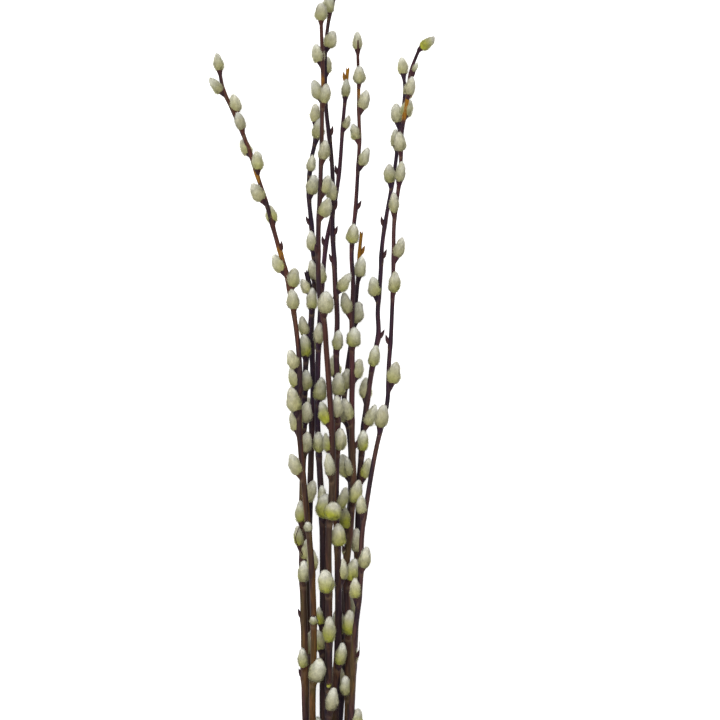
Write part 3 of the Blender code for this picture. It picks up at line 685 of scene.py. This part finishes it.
def add_catkin(shape, base, axis, outward, length, half_width, along, looks, draw):
    """A catkin's body under a coat of fine hairs that lie towards its tip."""
    x = square_to(outward, axis)
    turn = np.stack([x, np.cross(axis, x), axis])
    # A catkin's brightness is partly its own tone and partly painted light and shade, as it lay in the
    # light.
    stout, fresh, bright = looks or (draw.uniform(0.88, 1.1), None, draw.uniform(0.88, 1.1))
    hair = HAIR_LENGTH * min(1.0, length / SHORT_CATKIN)
    form = {"length": length - FUR_BEYOND_TIP, "half_width": half_width * stout - FUR_DEPTH,
            "blunt": draw.uniform(0.9, 1.15), "turn": draw.uniform(0.0, math.tau)}
    lushness = draw.uniform(0.85, 1.0)
    green = draw.uniform(0.3, 1.0) * np.interp(along, GREEN_PLACES, GREEN_STRENGTHS)
    green = green if fresh is None else fresh
    green_side = draw.uniform(0.0, math.tau)
    tint = draw.uniform(0.0, 1.0)

    rows = np.linspace(0.0, 1.0, CATKIN_ROWS) ** 0.9
    t, angle = np.meshgrid(rows, ring_angles(CATKIN_SIDES), indexing="ij")
    points, normals, tipward = surface(t, angle, form)
    finish = np.array([-CATKIN_BEND * form["length"], 0.0, form["length"]]) @ turn + base
    normals = np.concatenate([(normals @ turn).reshape(-1, 3), [-axis], [axis]])
    shape.add_skin(points @ turn + base, base, finish, normals, height=t, shade=0.5, tint=tint,
                   green=greenness(green, t, angle, green_side), bright=bright)

    count = int(HAIRS * lushness * (form["length"] * form["half_width"]) / HAIRS_AREA)
    k = np.arange(count)
    fine = np.linspace(0.0, 1.0, 200)
    share = np.cumsum(outline_at(CATKIN_OUTLINE, fine ** form["blunt"]) + 0.12)
    noise = np.random.default_rng(draw.randrange(1 << 30))
    spots = (k + noise.uniform(-0.4, 0.4, count) + 0.5) / count
    t = np.interp(spots, share / share[-1], fine) * HIGHEST_ROOT
    angle = k * GOLDEN_ANGLE + noise.normal(0.0, 0.05, count)
    root, normal, tipward = surface(t, angle, form)
    across = np.cross(normal, tipward)
    lift = np.radians(HAIR_LIFT + noise.normal(0.0, HAIR_LIFT_SPREAD, count))[:, None]
    lie = unit(tipward * np.cos(lift) + normal * np.sin(lift)
               + across * noise.normal(0.0, HAIR_SWAY, (count, 1)))
    roll = noise.uniform(-1.2, 1.2, (count, 1))
    flat = unit(np.cross(lie, normal))
    wide = flat * np.cos(roll) + np.cross(lie, flat) * np.sin(roll)
    long = hair * noise.uniform(0.65, 1.15, (count, 1)) * (1.0 - 0.5 * t[:, None])
    wide = wide * HAIR_WIDTH * noise.uniform(0.35, 0.65, (count, 1))
    root = root - normal * ROOT_DEPTH
    hairs = np.stack([root - wide, root + wide, root + lie * long], axis=1)
    coat = unit(normal + 0.25 * lie) @ turn
    lit = np.stack([coat, coat, unit(coat + UPWARD * TIP_GLOW)], axis=1)
    greens = greenness(green, t, angle, green_side)
    shade = np.repeat(noise.uniform(0.0, 1.0, count), 3)
    # 1 at each hair's end, which gets painted light; 0 at its root and on the body, which get painted shade.
    outer = np.tile([0.0, 0.0, 1.0], count)
    shape.add((hairs @ turn + base).reshape(-1, 3), [np.arange(count * 3).reshape(-1, 3)],
              lit.reshape(-1, 3), height=np.repeat(t, 3) + outer * HAIR_END_PAINTED_LIGHT,
              green=np.repeat(greens, 3), outer=outer, shade=shade, tint=tint, bright=bright)


def fill(tree, made, inputs):
    """Link or set a node's inputs, which are named or numbered."""
    for key, value in inputs.items():
        if isinstance(value, bpy.types.NodeSocket):
            tree.links.new(value, made.inputs[key])
        else:
            made.inputs[key].default_value = value


def node(tree, kind, inputs, **settings):
    made = tree.nodes.new(kind)
    for name, value in settings.items():
        setattr(made, name, value)
    fill(tree, made, inputs)
    return made


def attribute(tree, name):
    return node(tree, "ShaderNodeAttribute", {}, attribute_name=name).outputs["Fac"]


def opaque(colour):
    """A colour with its alpha, or a socket as it is."""
    return colour if isinstance(colour, bpy.types.NodeSocket) else (*colour, 1.0)


def ramp(tree, factor, stops):
    """A colour ramp with stops of (position, colour)."""
    made = node(tree, "ShaderNodeValToRGB", {"Fac": factor})
    elements = made.color_ramp.elements
    while len(elements) < len(stops):
        elements.new(0.5)
    for element, (position, colour) in zip(elements, stops):
        element.position = position
        element.color = opaque(colour)
    return made.outputs["Color"]


def blended(tree, factor, first, second, kind="MIX"):
    inputs = {0: factor, 6: opaque(first), 7: opaque(second)}
    return node(tree, "ShaderNodeMix", inputs, data_type="RGBA", blend_type=kind).outputs[2]


def ranged(tree, value, low, high, to_low, to_high):
    inputs = {"Value": value, "From Min": low, "From Max": high, "To Min": to_low, "To Max": to_high}
    return node(tree, "ShaderNodeMapRange", inputs).outputs["Result"]


def scaled_places(tree, across, along):
    """The surface's own coordinates in metres, times a scale along the bunch and one across it."""
    places = node(tree, "ShaderNodeTexCoord", {}).outputs["Object"]
    inputs = {"Vector": places, "Scale": (across, along, across)}
    return node(tree, "ShaderNodeMapping", inputs).outputs["Vector"]


def grained(tree, across, along, detail, roughness=0.55):
    """Noise by the scaled places."""
    inputs = {"Vector": scaled_places(tree, across, along), "Scale": 1.0, "Detail": detail,
              "Roughness": roughness}
    return node(tree, "ShaderNodeTexNoise", inputs).outputs["Fac"]


def computed(tree, operation, first, second):
    return node(tree, "ShaderNodeMath", {0: first, 1: second}, operation=operation).outputs[0]


def product(tree, first, second):
    return computed(tree, "MULTIPLY", first, second)


def lit_by(tree, colour, light):
    """A colour times a brightness."""
    grey = node(tree, "ShaderNodeCombineXYZ", {0: light, 1: light, 2: light}).outputs[0]
    return blended(tree, 1.0, colour, grey, "MULTIPLY")


def bumped(tree, height, strength, distance):
    inputs = {"Height": height, "Strength": strength, "Distance": distance}
    return node(tree, "ShaderNodeBump", inputs).outputs["Normal"]


def new_material(name):
    material = bpy.data.materials.new(name)
    material.use_nodes = True
    return material, material.node_tree, material.node_tree.nodes["Principled BSDF"]


def bark_tones(tree, warm, colour):
    """Bark from near black through its own middle tone to its lighter, reddish side. The near black is
    partly painted shade, and the reddish side is partly painted light.
    """
    dark = tuple(c * k + m for c, k, m in zip(colour, (0.26, 0.22, 0.36), (0.008, 0.005, 0.007)))
    middle = tuple(c * 0.46 + m for c, m in zip(colour, (0.007, 0.003, 0.007)))
    red = tuple(c * k + m for c, k, m in zip(colour, (0.80, 0.72, 0.62), (0.010, 0.003, 0.002)))
    return ramp(tree, warm, [(0.15, dark), (0.55, middle), (1.0, red)])


def bark_material(name, colour, low_colour):
    """Smooth willow bark: streaked along the shoot, mossy and rusty low down, dotted with pores, and
    golden where it is scraped."""
    material, tree, shader = new_material(name)
    low = attribute(tree, "low")
    streaks = grained(tree, 900.0, 45.0, 3.0)
    patches = grained(tree, 60.0, 14.0, 2.0)
    # The warm side is lighter and the far side near black: partly the bark's own colour, partly painted
    # light and shade.
    warm = ranged(tree, computed(tree, "ADD", attribute(tree, "warm"), patches), 0.55, 1.35, 0.0, 1.0)
    bark = blended(tree, low, bark_tones(tree, warm, colour), bark_tones(tree, warm, low_colour))

    # A low colour that is nearly black shows little moss and rust.
    earthy = min(1.0, (low_colour[0] - 0.008) / 0.045)
    mossy = grained(tree, 95.0, 14.0, 3.0)
    moss = product(tree, ranged(tree, mossy, 0.50, 0.64, 0.0, 0.68 * earthy),
                   ranged(tree, low, 0.0, 1.0, 0.30, 1.0))
    bark = blended(tree, moss, bark, (0.066, 0.048, 0.013))
    bark = blended(tree, ranged(tree, mossy, 0.48, 0.36, 0.0, 0.85), bark, (0.014, 0.008, 0.015))
    rusty = grained(tree, 130.0, 11.0, 3.0)
    rust = product(tree, ranged(tree, rusty, 0.52, 0.66, 0.0, 0.7 * earthy),
                   ranged(tree, low, 0.0, 1.0, 0.12, 1.0))
    bark = blended(tree, rust, bark, (0.115, 0.052, 0.016))
    bark = lit_by(tree, bark, ranged(tree, streaks, 0.3, 0.7, 0.50, 1.42))

    cells = {"Vector": scaled_places(tree, 420.0, 210.0), "Scale": 1.0}
    pores = node(tree, "ShaderNodeTexVoronoi", cells).outputs["Distance"]
    pore = ranged(tree, pores, 0.10, 0.20, 1.0, 0.0)
    bark = blended(tree, product(tree, pore, 0.4), bark, (0.11, 0.065, 0.035))
    brown = blended(tree, streaks, (0.030, 0.010, 0.008), (0.075, 0.028, 0.016))
    bark = blended(tree, product(tree, attribute(tree, "brown"), 0.85), bark, brown)
    bark = blended(tree, product(tree, attribute(tree, "scar"), 0.75), bark, (0.105, 0.066, 0.040))
    strong = ranged(tree, streaks, 0.35, 0.65, 0.0, 1.0)
    golden = blended(tree, strong, (0.13, 0.050, 0.006), (0.36, 0.165, 0.007))
    bark = blended(tree, attribute(tree, "gold"), bark, golden)
    wood = ramp(tree, attribute(tree, "ring"), [(0.10, (0.20, 0.11, 0.05)), (0.22, (0.50, 0.40, 0.24)),
                                                (0.75, (0.56, 0.49, 0.30)), (0.92, (0.22, 0.26, 0.07))])
    bumps = computed(tree, "ADD", product(tree, streaks, 0.5), product(tree, pore, 0.5))
    fill(tree, shader, {"Base Color": blended(tree, attribute(tree, "wood"), bark, wood),
                        "Roughness": ranged(tree, streaks, 0.3, 0.7, 0.48, 0.66),
                        "Normal": bumped(tree, bumps, 0.5, 0.0004), "Specular IOR Level": 0.10})
    return material


def fur_material():
    """Silvery down: pale at the tip and yellow-green low on the fresh catkins, with painted light on the
    hairs' ends and painted shade at their roots and on the body under them.
    """
    material, tree, shader = new_material("catkin_fur")
    patches = grained(tree, 230.0, 230.0, 2.0)
    silver = ramp(tree, attribute(tree, "height"), [(0.0, (0.30, 0.28, 0.13)), (0.28, (0.45, 0.43, 0.27)),
                                                    (0.65, (0.59, 0.58, 0.44)), (1.0, (0.84, 0.84, 0.76))])
    warm = blended(tree, 0.5, silver, (0.52, 0.45, 0.30))
    fur = blended(tree, product(tree, attribute(tree, "tint"), ranged(tree, patches, 0.3, 0.7, 0.3, 1.0)),
                  silver, warm)
    fur = blended(tree, attribute(tree, "green"), fur, (0.44, 0.45, 0.045))
    olive = grained(tree, 150.0, 110.0, 2.0)
    fur = blended(tree, ranged(tree, olive, 0.52, 0.72, 0.0, 0.55), fur, (0.40, 0.37, 0.17))
    light = ranged(tree, attribute(tree, "shade"), 0.0, 1.0, 0.80, 1.12)
    # Painted shade at the hairs' roots and on the body, painted light at the hairs' ends.
    light = product(tree, light, ranged(tree, attribute(tree, "outer"), 0.0, 1.0, 0.82, 1.20))
    # Each catkin's brightness: partly its own tone, partly painted light and shade.
    light = product(tree, light, attribute(tree, "bright"))
    mottle = grained(tree, 420.0, 300.0, 3.0, 0.65)
    light = product(tree, light, ranged(tree, mottle, 0.32, 0.68, 0.79, 1.17))
    fill(tree, shader, {"Base Color": lit_by(tree, fur, light), "Roughness": 0.82,
                        "Specular IOR Level": 0.25, "Sheen Weight": 0.35, "Sheen Roughness": 0.5})
    return material


def rubber_material():
    material, tree, shader = new_material("band_rubber")
    mottle = grained(tree, 500.0, 500.0, 4.0)
    fill(tree, shader, {"Base Color": blended(tree, mottle, (0.42, 0.24, 0.10), (0.62, 0.42, 0.22)),
                        "Roughness": ranged(tree, mottle, 0.3, 0.7, 0.45, 0.65),
                        "Normal": bumped(tree, mottle, 0.3, 0.0002)})
    return material


def placed_piece(shape, name, cad_node, material):
    mesh = shape.mesh(name)
    mesh.materials.append(material)
    piece = bpy.data.objects.new(name, mesh)
    bpy.context.scene.collection.objects.link(piece)
    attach(piece, "root")
    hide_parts(cad_node)
    return piece


def build_branch(short, branch, fur):
    name = "branch_" + short
    stem = Stem(branch)
    draw = random.Random(name + "_looks")
    phase = draw.uniform(0.0, math.tau)
    bark = Shape("gold", "warm", "wood", "ring", "brown", "low", "scar")
    down = Shape("height", "green", "outer", "shade", "tint", "bright")
    add_stem(bark, branch, stem, phase)
    own_looks = branch.get("looks", {})
    for base, axis, outward, length, half_width, along in catkin_places(name, branch, stem):
        turn = math.degrees(math.atan2(outward[0], outward[2]))
        on_tip = stem if along == stem.end else None
        # The cup takes the bark's warmth, with its painted light and shade.
        warm = warmth_and_light(branch, along, turn, phase)
        add_cup(bark, base, axis, outward, length, half_width, lowness(along), warm, draw, on_tip)
        add_catkin(down, base, axis, outward, length, half_width, along, own_looks.get(along), draw)
    tufts = branch.get("tufts", {})
    for along, turn in branch["buds"] + branch.get("scales", []):
        axis, outward = stem.leaning(along, turn, BUD_LEAN)
        base = stem.centre(along) + outward * stem.radius(along)
        golden = any(start <= along <= stop for start, stop, _ in branch.get("golden", []))
        add_bud(bark, base, axis, outward, GOLD_OF_BUD if golden else 0.0)
        if along in tufts:
            # A tuft's brightness is partly its own tone and partly painted light and shade.
            length, width, fresh, bright = tufts[along]
            foot = base - axis * TUFT_SUNK
            add_catkin(down, foot, axis, outward, length, width / 2, along, (1.0, fresh, bright), draw)
    if "twig" in branch:
        add_twig(bark, branch["twig"], branch["twig_radius"])
    bark_look = bark_material("bark_" + short, branch["bark"], branch["low_bark"])
    wood = placed_piece(bark, "bark_" + short, name, bark_look)
    wood.data.set_sharp_from_angle(angle=math.radians(SHARP_ANGLE))
    placed_piece(down, "catkins_" + short, name, fur)


# The rubber band: turns side by side, and a stretch that crosses back over them.
BAND_TURNS = 3
BAND_SHIFT = 6.2
STRIP_WIDTH = 2.2
STRIP_THICKNESS = 1.05
STRIP_CLEARANCE = 0.1
CORNER_POWER = 0.45
CROSSING = 0.35
CROSSING_RISE = 0.2
CROSSING_CLEARANCE = 0.08
RINGS_A_TURN = 100
STRIP_SIDES = 12


def band_outline():
    """The tight loop round the outer seats: points and outward directions, evenly spaced."""
    seats = [(-1, 0), (1, 0), (1.5, 1), (1, 2), (-1, 2), (-1.5, 1)]
    spots = np.array([seat_place(*seat) for seat in seats])
    clearance = STEM_RADIUS_AT_BAND + STRIP_THICKNESS / 2 + STRIP_CLEARANCE
    points, outward = [], []
    for k, spot in enumerate(spots):
        before = spot - spots[k - 1]
        after = spots[(k + 1) % len(spots)] - spot
        start = math.atan2(before[1], before[0]) - math.pi / 2
        sweep = (math.atan2(after[1], after[0]) - math.atan2(before[1], before[0])) % math.tau
        for angle in start + np.linspace(0.0, sweep, 9):
            outward.append((math.cos(angle), math.sin(angle)))
            points.append(spot + clearance * np.array(outward[-1]))
    points = np.array(points + points[:1])
    outward = np.array(outward + outward[:1])
    reach = np.concatenate([[0.0], np.cumsum(np.linalg.norm(np.diff(points, axis=0), axis=1))])
    even = np.arange(RINGS_A_TURN) / RINGS_A_TURN * reach[-1]
    across, height = (np.interp(even, reach, points[:, k]) for k in range(2))
    out_x, out_z = (np.interp(even, reach, outward[:, k]) for k in range(2))
    return across, height, unit(np.stack([out_x, np.zeros_like(out_x), out_z], axis=-1))


def rounded(share):
    """A sine or cosine drawn out, so that a circle turns into a rounded rectangle."""
    return np.sign(share) * np.abs(share) ** CORNER_POWER


def build_band():
    across, height, outward = band_outline()
    count = BAND_TURNS * RINGS_A_TURN
    turns = np.arange(count) / RINGS_A_TURN
    at = np.arange(count) % RINGS_A_TURN
    crossing = np.clip((turns - (BAND_TURNS - CROSSING)) / CROSSING, 0.0, 1.0)
    there = turns / (BAND_TURNS - CROSSING)
    along = BAND_SHIFT * (np.where(crossing > 0.0, 1.0 - eased(crossing), there) - 0.5)
    lift = eased(np.clip(np.minimum(crossing, 1.0 - crossing) / CROSSING_RISE, 0.0, 1.0))
    lift = lift * (STRIP_THICKNESS + CROSSING_CLEARANCE)
    out = outward[at]
    centres = np.stack([across[at], along, height[at]], axis=-1) + out * lift[:, None]
    forward = unit(np.roll(centres, -1, axis=0) - np.roll(centres, 1, axis=0))
    out = square_to(out, forward)
    wide = np.cross(out, forward)
    angles = ring_angles(STRIP_SIDES)
    corner_x = rounded(np.cos(angles)) * STRIP_WIDTH / 2
    corner_y = rounded(np.sin(angles)) * STRIP_THICKNESS / 2
    rings = (centres[:, None] + wide[:, None] * corner_x[None, :, None]
             + out[:, None] * corner_y[None, :, None])
    ring, side = np.meshgrid(np.arange(count), np.arange(STRIP_SIDES), indexing="ij")
    here = ring * STRIP_SIDES
    after = (ring + 1) % count * STRIP_SIDES
    beside = (side + 1) % STRIP_SIDES
    faces = np.stack([here + side, after + side, after + beside, here + beside], -1).reshape(-1, 4)
    shape = Shape()
    shape.add(rings.reshape(-1, 3), [faces])
    placed_piece(shape, "rubber_band_turns", "rubber_band", rubber_material())


# The camera looks straight down, with the photograph's scale at the height of the upper branches.
CAMERA_ACROSS = 24.8
CAMERA_ALONG = 376.0
CAMERA_HEIGHT = 4000.0
SCALED_HEIGHT = 30.0
FRAME_SIDE = 576.0
SENSOR = 36.0

# The floor's half side and height, and where the light hangs, in metres from the bunch's middle.
FLOOR = 5.0
FLOOR_HEIGHT = -0.0002
LIGHT_PLACE = (-0.5, 0.6, 2.6)
WHITE = (1.0, 1.0, 1.0, 1.0)


def build_stage():
    """A pale floor, one broad soft light from overhead, an even surround and the camera."""
    scene = bpy.context.scene
    scene.view_settings.view_transform = "Standard"
    material, tree, shader = new_material("pale_floor")
    grain = grained(tree, 40.0, 40.0, 2.0)
    fill(tree, shader, {"Base Color": blended(tree, grain, (0.90, 0.90, 0.90), (0.94, 0.94, 0.94)),
                        "Roughness": 0.9, "Specular IOR Level": 0.0, "Emission Color": WHITE,
                        "Emission Strength": 0.6})
    mesh = bpy.data.meshes.new("floor")
    square = [(-FLOOR, -FLOOR, 0), (FLOOR, -FLOOR, 0), (FLOOR, FLOOR, 0), (-FLOOR, FLOOR, 0)]
    mesh.from_pydata(square, [], [(0, 1, 2, 3)])
    mesh.materials.append(material)
    floor = bpy.data.objects.new("floor", mesh)
    floor.location.z = FLOOR_HEIGHT
    scene.collection.objects.link(floor)

    lamp = bpy.data.lights.new("soft_light", "AREA")
    lamp.shape = "SQUARE"
    lamp.size = 2.0
    lamp.energy = 62.0
    light = bpy.data.objects.new("soft_light", lamp)
    light.location = LIGHT_PLACE
    across, along, height = LIGHT_PLACE
    light.rotation_euler = (-math.atan2(along, height), math.atan2(across, height), 0.0)
    light.visible_camera = False
    scene.collection.objects.link(light)

    surround = bpy.data.worlds.new("surround")
    surround.use_nodes = True
    fill(surround.node_tree, surround.node_tree.nodes["Background"], {"Color": WHITE, "Strength": 0.62})
    scene.world = surround

    lens = bpy.data.cameras.new("camera")
    lens.sensor_width = SENSOR
    lens.lens = SENSOR * (CAMERA_HEIGHT - SCALED_HEIGHT) / FRAME_SIDE
    lens.clip_end = 50.0
    camera = bpy.data.objects.new("camera", lens)
    camera.location = world((CAMERA_ACROSS, CAMERA_ALONG, CAMERA_HEIGHT))
    scene.collection.objects.link(camera)
    scene.camera = camera


fur = fur_material()
for short, branch in BRANCHES.items():
    build_branch(short, branch, fur)
build_band()
build_stage()
